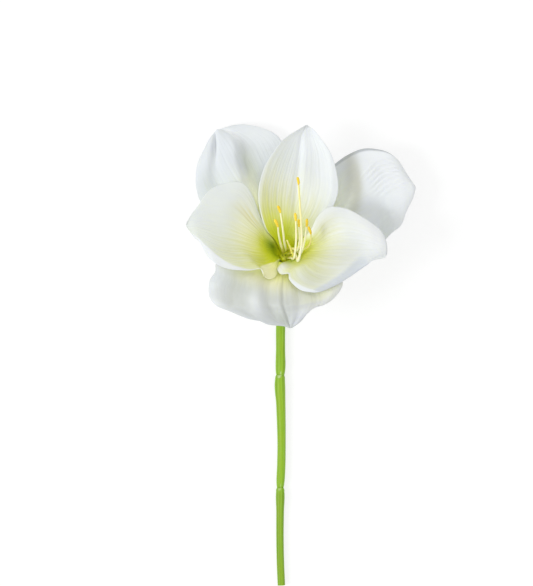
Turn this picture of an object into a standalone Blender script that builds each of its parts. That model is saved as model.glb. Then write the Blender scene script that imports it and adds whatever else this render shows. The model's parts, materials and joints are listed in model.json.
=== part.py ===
"""A cut amaryllis flower lying on a table.

One open bloom with six tepals on a thin cut stem. The stem lies on the table along Y, and its top bends up
through the ovary into the flower, whose face looks up and a little towards +Y. Two of the three outer tepals
reach the table, one at its tip and one along its lower margin.

Tables are in millimetres, in the flower's own frame: x and y from the throat, z from the table. SHIFT moves
that frame so that the model's origin is the centre of its box, at table height.
"""

from collections import namedtuple
from math import cos, pi, radians, sin

import bmesh
import bpy
import numpy as np
from mathutils import Vector

MM = 0.001
SHIFT = np.array([-11.1, 72.6, 0.0])

# The flower's axis leans from upright towards +Y. MOUTH is on it, where the tepals leave the throat.
AXIS_LEAN = radians(28)
AXIS = np.array([0.0, sin(AXIS_LEAN), cos(AXIS_LEAN)])
SIDE = np.array([1.0, 0.0, 0.0])
FRONT = np.array([0.0, cos(AXIS_LEAN), -sin(AXIS_LEAN)])
MOUTH = np.array([0.0, 3.6, 34.0])

# Claws of the two whorls: height along the axis from the mouth, and distance from the axis.
INNER_CLAW = ((-16.4, 4.9), (-9.0, 7.0), (-2.0, 10.5))
OUTER_CLAW = ((-16.4, 6.6), (-9.0, 9.0), (-3.0, 12.2))

TEPAL_THICKNESS = 0.9
TEPAL_ROWS = 28
TEPAL_COLUMNS = 18

FILAMENT_RADIUS = 0.65
STYLE_RADIUS = 0.75
ANTHER_RADIUS = 1.35
SEAT_GAP = 0.3

# Perianth tube below the claws, and the fleshy cushion on it that fills the throat between them: height
# along the axis from the mouth, and radius.
TUBE_PROFILE = ((-26.0, 3.3), (-23.0, 4.7), (-20.0, 6.0), (-17.5, 7.3), (-16.8, 7.4))
CUSHION_PROFILE = ((-16.8, 4.1), (-13.3, 4.0), (-12.5, 3.7), (-12.2, 3.2))

# A tepal runs from its claw to its tip through sections, each a left edge, midrib and right edge as seen
# from the flower's centre with the tip away. claw gives the angles of those three round the axis.
Tepal = namedtuple("Tepal", "name claw_rings claw sections folds turns")
# Lines on a tepal are (along, across) points: along is 0 at the claw's foot and 1 at the tip, and across is
# -1 at the left edge and 1 at the right.
# A fold is a ridge (height above 0) or a crease along its line, falling off over left and right to its
# sides.
Fold = namedtuple("Fold", "line left right height")
# A turned margin: beyond its line the tepal falls away outward by fall millimetres for each unit of across.
# bend is how far past the line the turn takes to tighten.
Turn = namedtuple("Turn", "edge line fall bend")

TEPALS = (
    Tepal(
        "petal_top",
        INNER_CLAW,
        (139, 88, 37),
        (
            ((-13.5, 15, 34), (3, 21, 29), (19, 15, 29)),
            ((-18.3, 32, 38), (5, 33, 29), (30, 27, 33)),
            ((-18.6, 46, 40), (7, 45, 30), (35.3, 40, 36.5)),
            ((-14.8, 58.5, 41), (9, 57, 31.5), (34.8, 55, 38)),
            ((-9, 69, 39.5), (11, 69, 32), (31, 69, 38)),
            ((-0.5, 80, 36.5), (12.6, 80, 31.5), (23.5, 80.5, 35.5)),
            ((9, 86, 33), (13.8, 85.7, 30), (18.7, 86.2, 32)),
            ((13.7, 88.8, 29.5), (14.5, 89, 29), (15.3, 88.7, 29.5)),
        ),
        (
            Fold(((0.22, 0.12), (0.48, 0.02), (0.72, -0.05), (0.9, -0.18), (0.98, -0.25)), 0.10, 0.12, -1.3),
            Fold(((0.45, 0.16), (0.7, 0.12), (0.98, 0.05)), 0.12, 0.3, 0.6),
        ),
        (
            Turn(-1, ((0.2, 1.0), (0.4, 0.92), (0.7, 0.92), (0.9, 1.0)), 12, 0.05),
            Turn(1, ((0.25, 1.0), (0.4, 0.9), (0.7, 0.9), (0.9, 1.0)), 16, 0.05),
        ),
    ),
    Tepal(
        "petal_left",
        INNER_CLAW,
        (228, 183, 143),
        (
            ((-5.4, -12, 48), (-16, 3.5, 36.5), (-13.5, 14.5, 31)),
            ((-8.9, -16.4, 52.5), (-20, 5.5, 39.5), (-16.3, 21, 32)),
            ((-13.6, -15.6, 55), (-26, 7.5, 42.5), (-19.3, 28.5, 33)),
            ((-17, -12, 57), (-33, 10, 45.5), (-23, 39, 35)),
            ((-26, -12.8, 59), (-41, 12.5, 49), (-30, 48, 38)),
            ((-39.2, -11, 60), (-50, 14.5, 52), (-42, 48, 41.5)),
            ((-50.2, -3.4, 60.5), (-57.5, 16.5, 54.5), (-53.5, 43, 45.5)),
            ((-59.6, 6.2, 59), (-63.8, 17.8, 56), (-61.5, 31.5, 50)),
            ((-66.2, 12.8, 57.5), (-67.8, 18.3, 56), (-67.2, 23.4, 54)),
            ((-68.9, 17.5, 56), (-69.3, 18.3, 56), (-69.1, 19.2, 56)),
        ),
        (),
        (
            Turn(
                -1,
                ((0.12, 1), (0.17, 0.88), (0.21, 0.8), (0.28, 0.69), (0.35, 0.74), (0.42, 0.92), (0.48, 1)),
                14, 0.03,
            ),
            Turn(
                -1,
                ((0.5, 1.0), (0.6, 0.88), (0.7, 0.69), (0.8, 0.6), (0.88, 0.6), (0.95, 0.75), (1, 1)),
                12, 0.04,
            ),
        ),
    ),
    Tepal(
        "petal_right",
        INNER_CLAW,
        (32, -20, -68),
        (
            ((10.5, 8.7, 31), (11, -0.6, 35.5), (-4.6, -9.4, 43.2)),
            ((12.5, 10, 33.5), (14.5, -0.8, 38.5), (-6.0, -11.3, 48.3)),
            ((15, 12.5, 36), (18.5, -1, 41), (-2.8, -12.9, 51.5)),
            ((17.5, 16, 38), (22.5, -1, 43.5), (1.4, -13.8, 53.5)),
            ((19.5, 20, 39.5), (25.5, -1, 45.5), (2.4, -18.5, 56)),
            ((21.5, 24, 41), (29, -1, 47.5), (7.2, -23.8, 58.8)),
            ((29, 30.8, 44), (38.5, -1, 52), (18.5, -28, 61)),
            ((42, 30, 46), (49, -1, 56), (34, -25, 58)),
            ((55, 22.8, 49), (58, -0.5, 58), (47.5, -17.5, 55.5)),
            ((61, 18.8, 50.5), (62.5, 0, 58), (56, -8.3, 55)),
            ((66, 14.3, 52), (66, 0.5, 57.5), (61.6, -5.5, 55)),
            ((69.6, 6.5, 54.5), (69, 0, 56.5), (66.4, -4.8, 55)),
            ((69.9, -0.5, 56), (69.4, -2.4, 56), (68.6, -4.1, 56)),
        ),
        (
            Fold(((0.17, 0.93), (0.25, 0.91), (0.32, 0.93)), 0.12, 0.12, 1.4),
        ),
        (
            Turn(1, ((0.14, 1.0), (0.19, 0.86), (0.25, 0.78), (0.3, 0.86), (0.34, 1.0)), 14, 0.04),
            Turn(1, ((0.23, 1.0), (0.28, 0.74), (0.33, 0.7), (0.42, 0.8), (0.52, 1.0)), 9, 0.08),
            Turn(1, ((0.34, 1.0), (0.4, 0.94), (0.52, 0.94), (0.6, 1.0)), 18, 0.03),
            Turn(
                1,
                ((0.5, 1.0), (0.56, 0.62), (0.6, 0.42), (0.66, 0.15), (0.73, 0.1), (0.8, 0.4), (0.86, 1.0)),
                4, 0.2,
            ),
        ),
    ),
    Tepal(
        "sepal_upper_left",
        OUTER_CLAW,
        (172, 128, 84),
        (
            ((-26, 12, 30), (-17, 22, 26), (0, 22, 19)),
            ((-42, 21, 26), (-24, 36, 26), (2, 38, 13)),
            ((-57.3, 31.5, 21), (-31, 50, 25), (4, 54, 9)),
            ((-63.2, 45, 16), (-38, 63, 22), (2, 68, 8)),
            ((-62.8, 61, 12.5), (-43, 74, 17), (-7, 83.5, 8.5)),
            ((-57.4, 73, 9), (-47, 82, 11), (-26, 90.3, 8)),
            ((-52.4, 82.3, 3.4), (-48.8, 85.8, 3.2), (-42.5, 89, 3.6)),
            ((-50.3, 84.8, 0.6), (-49.8, 85.6, 0.5), (-49, 86.2, 0.6)),
        ),
        (
            Fold(
                ((0.33, -0.1), (0.47, -0.07), (0.53, -0.02), (0.6, 0.02), (0.72, 0.15), (0.8, 0.2), (1, 0)),
                0.35, 0.13, 3,
            ),
            Fold(
                ((0.33, 0.17), (0.47, 0.2), (0.6, 0.28), (0.72, 0.42), (0.8, 0.46), (0.88, 0.4)),
                0.12, 0.5, -3.8,
            ),
            Fold(((0.45, -0.6), (0.6, -0.55), (0.66, -0.49), (0.8, -0.36), (1.0, -0.2)), 0.12, 0.12, -2),
        ),
        (),
    ),
    Tepal(
        "sepal_right",
        OUTER_CLAW,
        (76, 28, -18),
        (
            ((10, 26, 19), (20, 16, 25), (24, 3, 28)),
            ((20, 44, 17), (35, 25, 24), (38, 3, 21)),
            ((32, 60, 19), (50, 34, 25), (50, 0, 14)),
            ((44.5, 69.8, 21), (62, 41, 25), (61, 1, 9)),
            ((60, 73.2, 22), (72, 45, 25), (76, 14.6, 24)),
            ((69.6, 71.2, 22), (78, 46, 24.5), (81, 19, 25)),
            ((76.6, 66.8, 21.5), (82.8, 46.6, 24), (84.8, 28.4, 24)),
            ((85.6, 54.4, 19.5), (88.8, 46.6, 22), (90, 39, 22)),
            ((90.6, 46.9, 20), (91.2, 45.4, 20.5), (91, 44, 20.5)),
        ),
        (
            Fold(((0.5, 0.15), (0.65, 0.1), (0.95, 0.1)), 0.3, 0.3, -0.8),
        ),
        (
            Turn(-1, ((0.4, 1.0), (0.5, 0.95), (0.75, 0.94), (0.9, 1.0)), 30, 0.03),
            Turn(1, ((0.3, 1.0), (0.42, 0.7), (0.52, 0.55), (0.62, 0.75), (0.7, 1.0)), 40.2, 0.1),
        ),
    ),
    Tepal(
        "sepal_lower",
        OUTER_CLAW,
        (318, 265, 213),
        (
            ((15, -8, 37), (-0.5, -13, 41), (-18, -4, 35)),
            ((26, -11, 42), (0, -19, 46.5), (-36, -5, 39)),
            ((36, -15, 46.5), (0.3, -27, 54), (-48.8, -8, 43)),
            ((38.3, -19, 48), (0.5, -31.5, 57), (-49.4, -13.6, 44.5)),
            ((39.2, -23, 49), (0.8, -36, 59.5), (-53.4, -19.8, 46)),
            ((36.6, -29.5, 50.5), (1.1, -38.5, 60.5), (-53.2, -31, 48)),
            ((32, -33.2, 52), (1.5, -41.3, 61.5), (-49.2, -36.6, 49)),
            ((24.8, -33.6, 54), (2.1, -45, 61), (-41.3, -41, 50)),
            ((17.2, -39.6, 55), (2.4, -48.8, 59.5), (-27, -46, 52)),
            ((11, -47.1, 56), (2.6, -51.4, 57.5), (-10, -48.6, 54)),
            ((5.2, -52.1, 55), (3, -52.7, 54.5), (0.8, -52.4, 55)),
        ),
        (
            Fold(((0.25, 0.42), (0.49, 0.46), (0.62, 0.47), (0.75, 0.56), (0.95, 0.6)), 0.13, 0.12, 2.2),
            Fold(((0.25, 0.7), (0.5, 0.72), (0.62, 0.75), (0.9, 0.8)), 0.12, 0.12, -1.4),
            Fold(((0.3, 0.32), (0.51, 0.3), (0.64, 0.25), (0.8, 0.3), (0.97, 0.3)), 0.1, 0.1, -1.8),
        ),
        (),
    ),
)

# Stem, from the cut end to the flower: y, x, radius. It narrows at the foot of each joint ring.
STEM_POINTS = (
    (-236, -3.1, 2.6),
    (-219, -3.8, 2.6),
    (-201, -4.1, 2.6),
    (-184, -4.0, 2.7),
    (-169, -3.9, 2.85),
    (-166.6, -3.9, 2.5),
    (-164, -3.8, 2.75),
    (-151, -3.2, 2.95),
    (-139, -3.0, 2.9),
    (-108, -3.5, 3.25),
    (-90, -4.1, 3.45),
    (-86.8, -3.9, 3.0),
    (-84, -3.8, 3.3),
    (-68, -3.7, 3.2),
    (-52, -3.6, 3.25),
    (-40, -2.8, 3.3),
    (-31, -1.4, 3.3),
)
# The stem's top and the ovary bend up to the tube: (x, y, z, radius).
BEND_POINTS = ((-0.5, -25, 3.6, 3.3), (0, -19.7, 4.45, 3.2))
OVARY_POINTS = (
    (0, -19.35, 4.5, 3.3),
    (0, -17.4, 4.8, 4.2),
    (0, -14.3, 5.8, 4.9),
    (0, -11.6, 7.3, 4.7),
    (0, -9.75, 9.0, 3.9),
    (0, -8.77, 10.7, 3.3),
)

# A filament stands on the cushion at foot_angle, passes the throat at (distance from the axis, angle),
# and then follows route to its anther's foot: (x, y, z). The anther points on to anther_tip.
Stamen = namedtuple("Stamen", "foot_angle throat route anther_tip")
STAMENS = (
    Stamen(190, (2.3, 190), ((-3.8, 6, 39), (-5.2, 12, 48), (-5.6, 17, 54.5)), (-8, 22.3, 58.5)),
    Stamen(138, (1.0, 140), ((-1.4, 8, 43), (-2.7, 18, 56), (-4, 26.6, 62.5)), (-6, 31.6, 65)),
    Stamen(
        276,
        (4.7, 285),
        ((3.2, -4.2, 36.3), (5.2, -4.7, 43.5), (6.8, 6, 52), (6.6, 21, 60)),
        (6, 26.7, 62),
    ),
    Stamen(
        86,
        (3.2, 60),
        ((6.3, 1.9, 32.6), (8.1, 1.2, 39.5), (9.4, 8, 47), (8.8, 17, 55)),
        (8.4, 22.3, 58),
    ),
    Stamen(
        358,
        (4.9, 8),
        ((8.5, -0.1, 33.7), (10.2, -1, 41), (12.3, 5, 50), (14, 17, 60)),
        (14.2, 22.7, 62),
    ),
    Stamen(
        34,
        (4.9, 32),
        ((8.7, 2.9, 32.6), (12.2, 1.8, 39.5), (16.3, 5, 45), (17.3, 12, 50)),
        (15.2, 17.5, 53),
    ),
)
STAMINODE = (310, (4.6, 312), ((5.1, -3.5, 35.5), (3.8, 0.5, 38.5), (2.2, 4.5, 42), (0.6, 8, 46)))
STYLE = (
    (6.2, -1.5, 36.5),
    (8.3, -6.2, 49.5),
    (10.4, 3, 56),
    (10.3, 19, 67),
    (9.2, 34.5, 76),
    (8.4, 45.5, 79),
)
STYLE_THROAT = (2.6, 340)
STIGMA_TIP = (7.5, 51, 80)
FOOT_HEIGHT = -11.4
FOOT_RADIUS = 2.6
THROAT_HEIGHT = -8.0

COLOURS = {
    "tepal": ((0.86, 0.88, 0.84), 0.5),
    "stem": ((0.30, 0.52, 0.04), 0.45),
    "ovary": ((0.36, 0.52, 0.08), 0.45),
    "tube": ((0.42, 0.50, 0.08), 0.5),
    "filament": ((0.85, 0.80, 0.35), 0.45),
    "anther": ((0.90, 0.60, 0.08), 0.7),
    "stigma": ((0.90, 0.66, 0.12), 0.6),
}


def metres(points):
    """Millimetres in the flower's frame to metres in the model's frame."""
    return (np.asarray(points, float) + SHIFT) * MM


def on_axis(height, radius, angle):
    """The point at this height along the axis from the mouth, this far off it, at this angle round it."""
    turn = radians(angle)
    return MOUTH + height * AXIS + radius * (cos(turn) * SIDE + sin(turn) * FRONT)


def smooth_curve(points, knots, at):
    """A smooth curve through points at these knots, read at the values in at."""
    steps = np.diff(knots)
    slopes = np.diff(points, axis=0) / steps[:, None]
    tangents = np.empty_like(points)
    before, after = steps[:-1, None], steps[1:, None]
    tangents[1:-1] = (slopes[:-1] * after + slopes[1:] * before) / (before + after)
    tangents[0] = 1.5 * slopes[0] - 0.5 * tangents[1]
    tangents[-1] = 1.5 * slopes[-1] - 0.5 * tangents[-2]
    low = np.clip(np.searchsorted(knots, at, side="right") - 1, 0, len(steps) - 1)
    step = steps[low][:, None]
    part = ((at - knots[low]) / steps[low])[:, None]
    rest = 1 - part
    return (
        rest**2 * (1 + 2 * part) * points[low]
        + part**2 * (1 + 2 * rest) * points[low + 1]
        + rest**2 * part * step * tangents[low]
        - part**2 * rest * step * tangents[low + 1]
    )


def tepal_rails(tepal, along):
    """The left edge, midrib and right edge of a tepal, each read at the values in along."""
    claw = [[on_axis(height, radius, angle) for angle in tepal.claw] for height, radius in tepal.claw_rings]
    sections = np.array(claw + [list(section) for section in tepal.sections], float)
    steps = np.linalg.norm(np.diff(sections, axis=0), axis=2).mean(axis=1)
    knots = np.concatenate([[0], np.cumsum(steps)]) / steps.sum()
    return [smooth_curve(sections[:, rail], knots, along) for rail in range(3)]


def line_at(line, along):
    """The second value of a line's points, read smoothly at the values in along, as a column.

    Beyond the line's ends it keeps the value there.
    """
    knots, values = np.array(line, float).T
    return smooth_curve(values[:, None], knots, np.clip(along, knots[0], knots[-1]))


def fold_lift(folds, along, across):
    """How far the folds lift each point of the tepal, rows along and columns across."""
    lift = np.zeros((len(along), len(across)))
    for fold in folds:
        start, end = fold.line[0][0], fold.line[-1][0]
        fade = np.sin(pi * np.clip((along - start) / (end - start), 0, 1)) ** 0.7
        offset = across[None] - line_at(fold.line, along)
        shape = np.exp(-((offset / np.where(offset < 0, fold.left, fold.right)) ** 2))
        lift += fold.height * fade[:, None] * shape
    return lift


def turn_lift(turns, along, across):
    """How far the turned margins drop each point of the tepal, as a negative lift."""
    lift = np.zeros((len(along), len(across)))
    for turn in turns:
        past = np.clip(turn.edge * across[None] - line_at(turn.line, along), 0, None)
        lift -= turn.fall * past**2 / (past + turn.bend)
    return lift


def tepal_surface(tepal, rows, columns):
    """The tepal's middle surface in millimetres, as an array of rows along by columns across."""
    along = np.linspace(0, 1, rows)
    across = np.linspace(-1, 1, columns)
    left, middle, right = tepal_rails(tepal, along)
    straight = (right - left) / 2
    bow = (left + right) / 2 - middle
    part = across[None, :, None]
    points = middle[:, None] + part * straight[:, None] + part**2 * bow[:, None]
    inward = np.cross(np.gradient(points, axis=1), np.gradient(points, axis=0))
    inward /= np.linalg.norm(inward, axis=2)[..., None]
    lift = fold_lift(tepal.folds, along, across) + turn_lift(tepal.turns, along, across)
    return points + inward * lift[..., None]


def material(name):
    colour, roughness = COLOURS[name]
    found = bpy.data.materials.get(name) or bpy.data.materials.new(name)
    found.use_nodes = True
    shader = found.node_tree.nodes["Principled BSDF"]
    shader.inputs["Base Color"].default_value = (*colour, 1)
    shader.inputs["Roughness"].default_value = roughness
    shader.inputs["Metallic"].default_value = 0
    return found


def add_object(name, data, collection, finish):
    made = bpy.data.objects.new(name, data)
    data.materials.append(material(finish))
    collection.objects.link(made)
    return made


def mesh_from(bm, name):
    bmesh.ops.recalc_face_normals(bm, faces=bm.faces)
    mesh = bpy.data.meshes.new(name)
    bm.to_mesh(mesh)
    bm.free()
    mesh.shade_smooth()
    return mesh


def add_tepal(tepal, collection):
    """A grid laid on the tepal's surface, given its thickness by Solidify."""
    surface = metres(tepal_surface(tepal, TEPAL_ROWS + 1, TEPAL_COLUMNS + 1))
    bm = bmesh.new()
    bmesh.ops.create_grid(bm, x_segments=TEPAL_COLUMNS, y_segments=TEPAL_ROWS, size=1)
    for vert in bm.verts:
        column = round((vert.co.x + 1) / 2 * TEPAL_COLUMNS)
        row = round((vert.co.y + 1) / 2 * TEPAL_ROWS)
        vert.co = Vector(surface[row, column])
    made = add_object(tepal.name, mesh_from(bm, tepal.name), collection, "tepal")
    skin = made.modifiers.new("Thickness", "SOLIDIFY")
    skin.thickness = TEPAL_THICKNESS * MM
    skin.offset = 0


def add_round_bar(name, points, radii, collection, finish, quarter_sides=4):
    """A bar through points, with a radius at each. quarter_sides is a quarter of its number of sides."""
    curve = bpy.data.curves.new(name, "CURVE")
    curve.dimensions = "3D"
    curve.bevel_depth = MM
    curve.bevel_resolution = quarter_sides - 1
    curve.use_fill_caps = True
    curve.twist_mode = "MINIMUM"
    spline = curve.splines.new("POLY")
    spline.points.add(len(points) - 1)
    spline.use_smooth = True
    for target, place, radius in zip(spline.points, metres(points), radii):
        target.co = (*place, 1)
        target.radius = radius
    return add_object(name, curve, collection, finish)


def smoothed(points, count):
    """count points along the smooth curve through points, evenly spread over its length."""
    points = np.array(points, float)
    steps = np.linalg.norm(np.diff(points[:, :3], axis=0), axis=1)
    knots = np.concatenate([[0], np.cumsum(steps)])
    return smooth_curve(points, knots, np.linspace(0, knots[-1], count))


def add_stem(collection):
    """The lying stem and its bend. Its underside stays at table height until the bend lifts it."""
    lying = [(x, y, radius, radius) for y, x, radius in STEM_POINTS]
    points = np.array(lying + list(BEND_POINTS), float)
    bend = smoothed(points[-5:], 9)
    whole = np.concatenate([points[:-5], bend])
    add_round_bar("stem", whole[:, :3], whole[:, 3], collection, "stem")


def add_ovary(collection):
    path = smoothed(OVARY_POINTS, 11)
    add_round_bar("ovary", path[:, :3], path[:, 3], collection, "ovary")


def add_tube(collection):
    """The perianth tube with the throat's cushion, turned about the flower's axis."""
    profile = [(0, TUBE_PROFILE[0][0])] + [(radius, height) for height, radius in TUBE_PROFILE]
    profile += [(radius, height) for height, radius in CUSHION_PROFILE] + [(0, CUSHION_PROFILE[-1][0])]
    bm = bmesh.new()
    verts = [bm.verts.new((radius * MM, 0, height * MM)) for radius, height in reversed(profile)]
    for first, second in zip(verts, verts[1:]):
        bm.edges.new((first, second))
    mesh = bpy.data.meshes.new("perianth_tube")
    bm.to_mesh(mesh)
    bm.free()
    made = add_object("perianth_tube", mesh, collection, "tube")
    made.location = Vector(metres(MOUTH))
    made.rotation_euler = (-AXIS_LEAN, 0, 0)
    turn = made.modifiers.new("Turn", "SCREW")
    turn.steps = turn.render_steps = 24
    turn.use_merge_vertices = True
    turn.merge_threshold = 0.00001


def add_spindle(name, foot, tip, radius, collection, finish):
    """An anther or stigma: a long rounded body from foot to tip."""
    foot, tip = Vector(metres(foot)), Vector(metres(tip))
    bm = bmesh.new()
    bmesh.ops.create_uvsphere(bm, u_segments=12, v_segments=8, radius=1)
    bmesh.ops.scale(bm, vec=(radius * MM, radius * MM, (tip - foot).length / 2), verts=bm.verts)
    made = add_object(name, mesh_from(bm, name), collection, finish)
    made.location = (foot + tip) / 2
    made.rotation_euler = (tip - foot).to_track_quat("Z", "Y").to_euler()


def shortened(path, gap):
    """The path with its last point drawn back by gap."""
    back = path[-1] - path[-2]
    path[-1] -= back / np.linalg.norm(back) * gap
    return path


def filament_path(foot_radius, foot_angle, throat, route, gap):
    foot = on_axis(FOOT_HEIGHT, foot_radius, foot_angle)
    path = smoothed([foot, on_axis(THROAT_HEIGHT, *throat), *route], 5 * len(route))
    return shortened(path, gap)


def add_stamens(collection):
    for number, stamen in enumerate(STAMENS, 1):
        path = filament_path(FOOT_RADIUS, stamen.foot_angle, stamen.throat, stamen.route, SEAT_GAP)
        radii = np.linspace(FILAMENT_RADIUS, FILAMENT_RADIUS * 0.8, len(path))
        add_round_bar(f"filament_{number}", path, radii, collection, "filament", 2)
        add_spindle(
            f"anther_{number}", stamen.route[-1], stamen.anther_tip, ANTHER_RADIUS, collection, "anther"
        )
    path = filament_path(FOOT_RADIUS, *STAMINODE, 0)
    radii = np.linspace(FILAMENT_RADIUS, FILAMENT_RADIUS * 0.7, len(path))
    add_round_bar("staminode", path, radii, collection, "filament", 2)


def add_pistil(collection):
    path = filament_path(0, 0, STYLE_THROAT, STYLE, SEAT_GAP)
    radii = np.full(len(path), STYLE_RADIUS)
    add_round_bar("style", path, radii, collection, "filament", 2)
    add_spindle("stigma", STYLE[-1], STIGMA_TIP, ANTHER_RADIUS, collection, "stigma")


def main():
    for old in list(bpy.data.objects):
        bpy.data.objects.remove(old, do_unlink=True)
    collection = bpy.data.collections.new("amaryllis_flower")
    bpy.context.scene.collection.children.link(collection)
    add_stem(collection)
    add_ovary(collection)
    add_tube(collection)
    for tepal in TEPALS:
        add_tepal(tepal, collection)
    add_stamens(collection)
    add_pistil(collection)


main()
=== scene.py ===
"""The looks of a cut amaryllis flower lying on a white studio floor, seen from straight above.

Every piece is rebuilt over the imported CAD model: each tepal as a fine veined sheet with turned margins, the
stem with its joint rings, the ovary and tube, and the stamens and style. Tables are in millimetres, in the
flower's own frame: x and y from the throat, z from the floor. flower_shift() places it in the model's.
"""

import json
from collections import namedtuple
from functools import cache
from math import cos, pi, radians, sin

import bmesh
import bpy
import numpy as np
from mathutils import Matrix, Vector, noise

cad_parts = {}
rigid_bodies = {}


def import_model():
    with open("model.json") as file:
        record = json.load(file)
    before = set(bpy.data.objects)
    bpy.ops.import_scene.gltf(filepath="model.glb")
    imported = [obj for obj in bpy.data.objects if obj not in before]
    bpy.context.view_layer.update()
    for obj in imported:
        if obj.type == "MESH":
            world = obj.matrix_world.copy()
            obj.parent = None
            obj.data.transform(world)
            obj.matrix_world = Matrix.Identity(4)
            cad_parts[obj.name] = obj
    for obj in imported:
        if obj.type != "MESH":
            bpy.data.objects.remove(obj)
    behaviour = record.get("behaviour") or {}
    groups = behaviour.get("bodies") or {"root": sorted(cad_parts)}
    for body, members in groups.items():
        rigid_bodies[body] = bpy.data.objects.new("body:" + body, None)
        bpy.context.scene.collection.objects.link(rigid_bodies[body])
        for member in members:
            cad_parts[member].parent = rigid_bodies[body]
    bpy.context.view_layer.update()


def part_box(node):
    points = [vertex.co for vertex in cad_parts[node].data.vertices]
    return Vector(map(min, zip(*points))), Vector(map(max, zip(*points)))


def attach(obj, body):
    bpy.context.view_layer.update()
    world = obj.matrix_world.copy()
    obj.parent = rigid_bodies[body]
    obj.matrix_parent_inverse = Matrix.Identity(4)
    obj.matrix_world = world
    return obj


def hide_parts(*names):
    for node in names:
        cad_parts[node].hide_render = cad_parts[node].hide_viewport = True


MM = 0.001
MM_TO_CM = 0.1
BODY = "root"

# The flower's axis leans from upright towards +Y. MOUTH is on it, where the tepals leave the throat.
AXIS_LEAN = radians(28)
AXIS = np.array([0.0, sin(AXIS_LEAN), cos(AXIS_LEAN)])
SIDE = np.array([1.0, 0.0, 0.0])
FRONT = np.array([0.0, cos(AXIS_LEAN), -sin(AXIS_LEAN)])
MOUTH = np.array([0.0, 3.6, 34.0])

# Claws of the two whorls: height along the axis from the mouth, and distance from the axis.
INNER_CLAW = ((-16.4, 4.9), (-9.0, 7.0), (-2.0, 10.5))
OUTER_CLAW = ((-16.4, 6.6), (-9.0, 9.0), (-3.0, 12.2))

# A tepal is a grid of ROWS from claw to tip by COLUMNS from edge to edge. Places on it are along, 0 at the
# claw's foot and 1 at the tip, and across, -1 at the left edge and 1 at the right.
ROWS = 176
COLUMNS = 128
ALONG = np.linspace(0, 1, ROWS)[:, None]
ACROSS = np.linspace(-1, 1, COLUMNS)
MIDRIB_THICKNESS = 0.85
EDGE_THICKNESS = 0.4

# Each set of ribs is how many cross the blade, and a phase.
VEIN_SETS = ((11, 0.0), (17, 1.3), (26, 4.0))
VEIN_HEIGHT = 0.035
VEIN_DRIFT = 2
RUFFLE_SKEW = 1.1
UNEVENNESS = 0.35
UNEVENNESS_SIZE = 17.0

# A band's strength along its line is a half sine wave to this power.
FOLD_FADE = 0.7
COLOUR_FADE = 2
# A turned strip's colour has this part of its strength at the line.
COLOUR_START = 0.3
# The end of a closed tube is capped this part of a step beyond its last ring.
CAP_STEP = 1e-3

# The UV map and the colour attributes that the materials read.
BLADE_MAP = "Blade"
TURNED = "Turned"
TONED = "Toned"

# name is the piece, node the CAD node it stands for. claw gives the angles round the axis of the left edge,
# midrib and right edge, as seen from the flower's centre with the tip away. A section is these three places.
Tepal = namedtuple(
    "Tepal", "name node claw_rings claw ruffle look sections folds turns tints tones", defaults=((),) * 4
)
# A line on a blade is a list of (along, across) points.
# A fold (line, left, right, height) is a ridge, or a crease below height 0, that fades over left and right.
# A turn (edge, line, fall, bend, colour, share) is a turned margin: beyond its line the blade falls away
# outward by fall millimetres for each unit of across, once bend past the line, and has this share of colour.
# A tint (line, left, right, colour, share) is a soft band that takes a colour to this share.
# A tone (line, left, right, colour) is such a band that multiplies the colour, by three numbers or one.
# Most tones are painted light and shade; a few are streaks of colour.
# Waves along the edges: height, number of waves and phase.
Ruffle = namedtuple("Ruffle", "height waves phase")
# reach scales how far the green of the throat runs out, lean is how much further it runs at the right edge
# than at the midrib, streak is how unevenly it ends, veins is the strength of the green veins beyond it, rims
# are where white takes over towards the left edge and the right, and white is the colour beyond the green.
Look = namedtuple("Look", "reach lean streak veins rims white")

# Colours are linear.
WHITE = (0.87, 0.90, 0.915)
GREEN_WHITE = (0.885, 0.925, 0.885)
COOL_WHITE = (0.80, 0.84, 0.88)
YELLOW_GREEN = (0.60, 0.64, 0.10)
MIDRIB_GREEN = (0.58, 0.68, 0.36)
PATCH_GREEN = (0.36, 0.50, 0.02)
GREY_WHITE = (0.83, 0.865, 0.89)
SHADED_WHITE = (0.63, 0.65, 0.665)
# Painted shade on the right sepal's turned-back edge.
EDGE_SHADE_GREY = (0.42, 0.45, 0.47)
RIM_WHITE = (0.82, 0.84, 0.86)
# Painted shade on the right petal's reflexed lower margin.
MARGIN_SHADE_BLUE = (0.66, 0.71, 0.78)
CREAM = (0.93, 0.92, 0.62)
CREAM_WHITE = (0.79, 0.80, 0.755)
# The joint marks' pale green; the crescent on each lip is a painted highlight.
GLINT_AND_SCUFF = (0.76, 0.84, 0.52)
FLOOR_WHITE = (0.98, 0.98, 0.98)

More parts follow.
